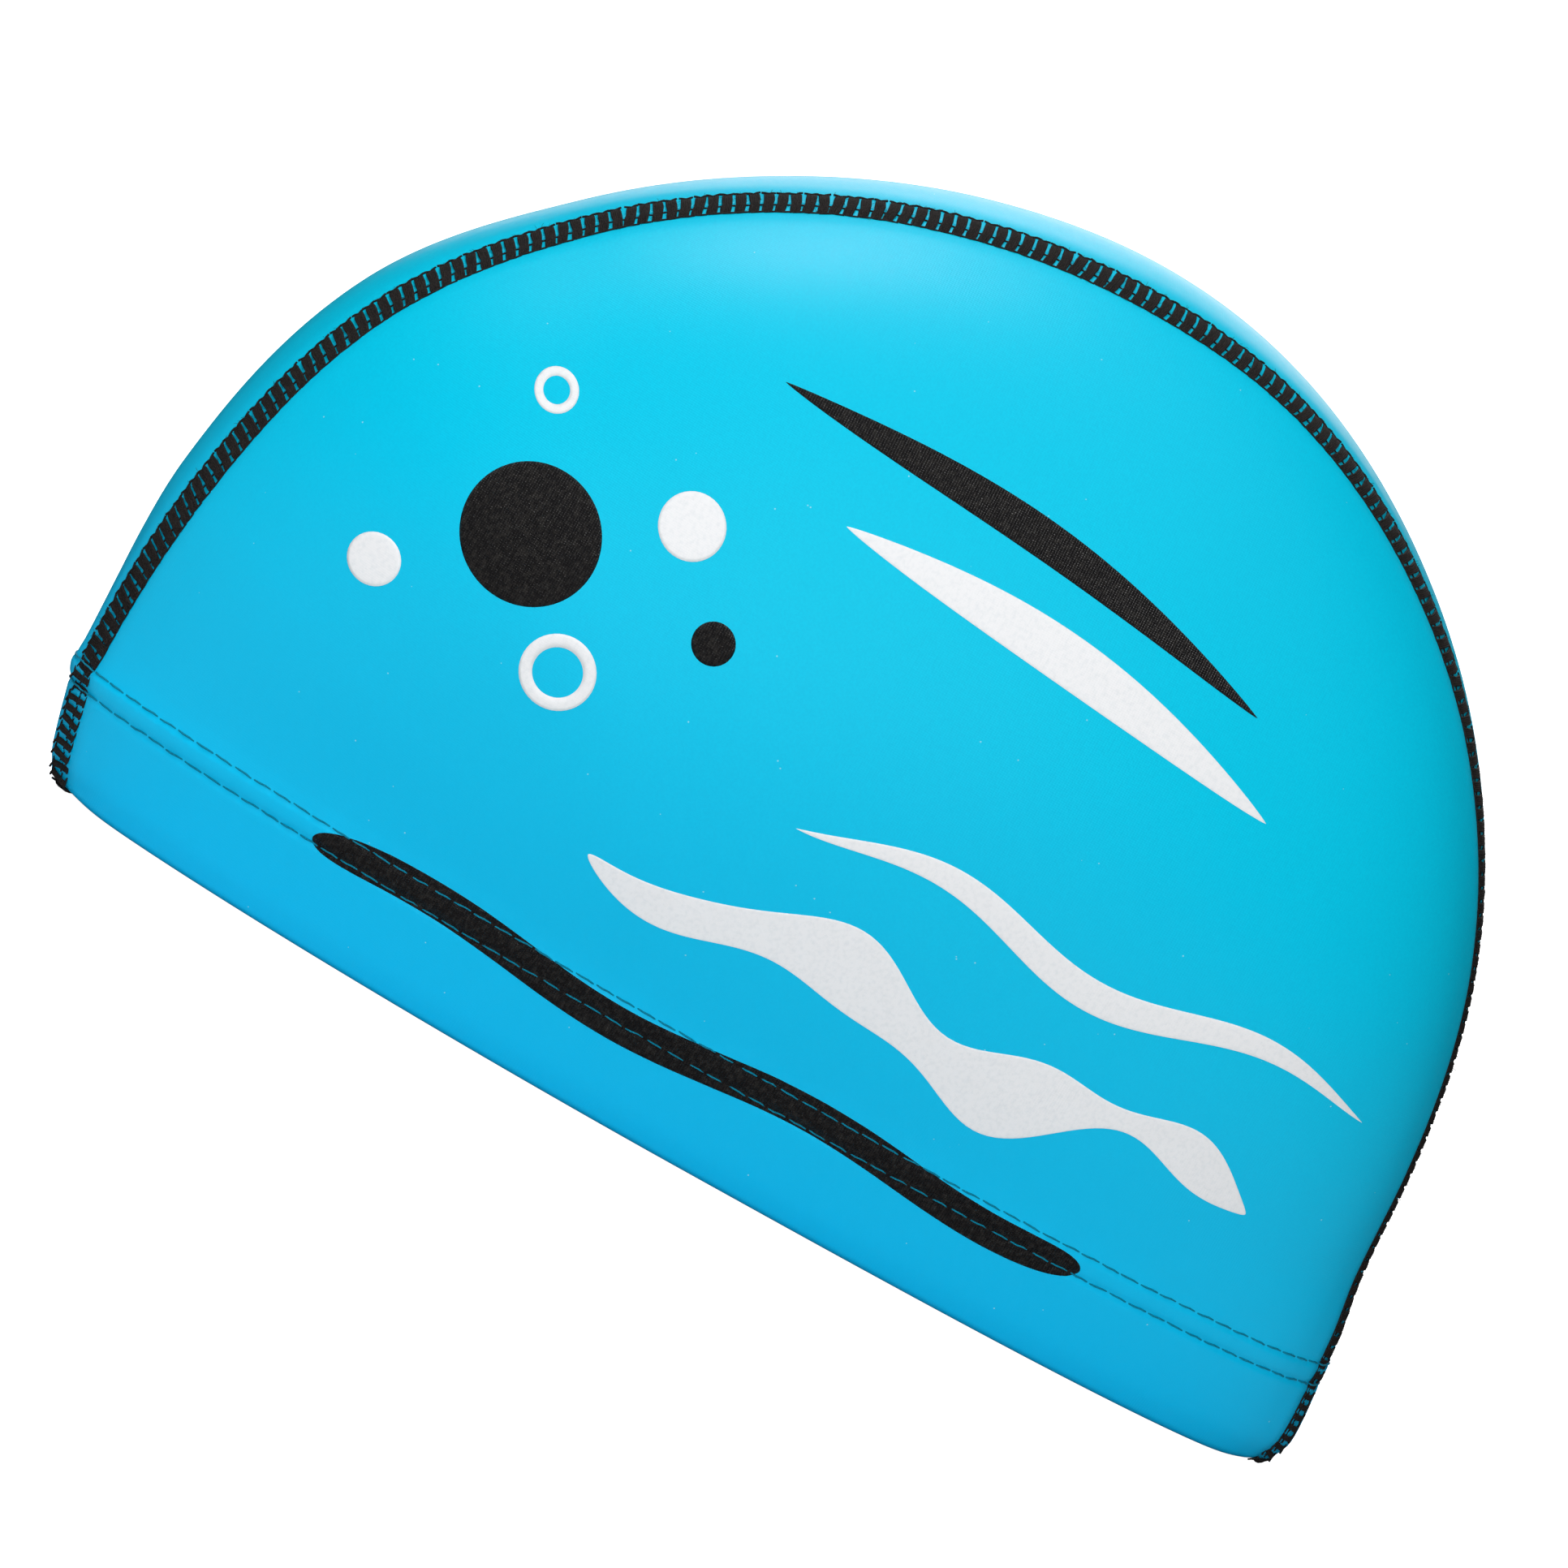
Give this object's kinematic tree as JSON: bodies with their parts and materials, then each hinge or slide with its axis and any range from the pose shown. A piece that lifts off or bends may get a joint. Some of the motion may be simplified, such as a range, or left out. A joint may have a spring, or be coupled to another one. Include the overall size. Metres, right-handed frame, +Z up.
{
  "type": "knitted swim cap with a thin silicone coat",
  "caption": "Soft rounded swim cap of coated knit in two panels, with a folded stitched hem and one overlocked seam over the crown.",
  "frame": {"origin": "on the surface that the rim rests on, under the middle of the cap", "axes": "+Z up from the rim to the crown, -Y to the forehead, +X to the wearer's left"},
  "size_m": [0.0824, 0.2014, 0.137],
  "materials": {
    "coated_knit": "fine cyan knit under a thin satin coat, with a faint grain and a soft broad sheen",
    "overlock_thread": "matt black woolly thread in a dense ladder of overlocked stitches",
    "hem_thread": "smooth teal sewing thread in two rows of cover stitch",
    "white_print": "opaque white print, smooth and matt",
    "black_print": "opaque black print with a slight gloss that shows the knit below"
  },
  "bodies": {
    "root": {"left_panel": "coated_knit", "right_panel": "coated_knit", "seam_band": "overlock_thread"}
  },
  "joints": []
}
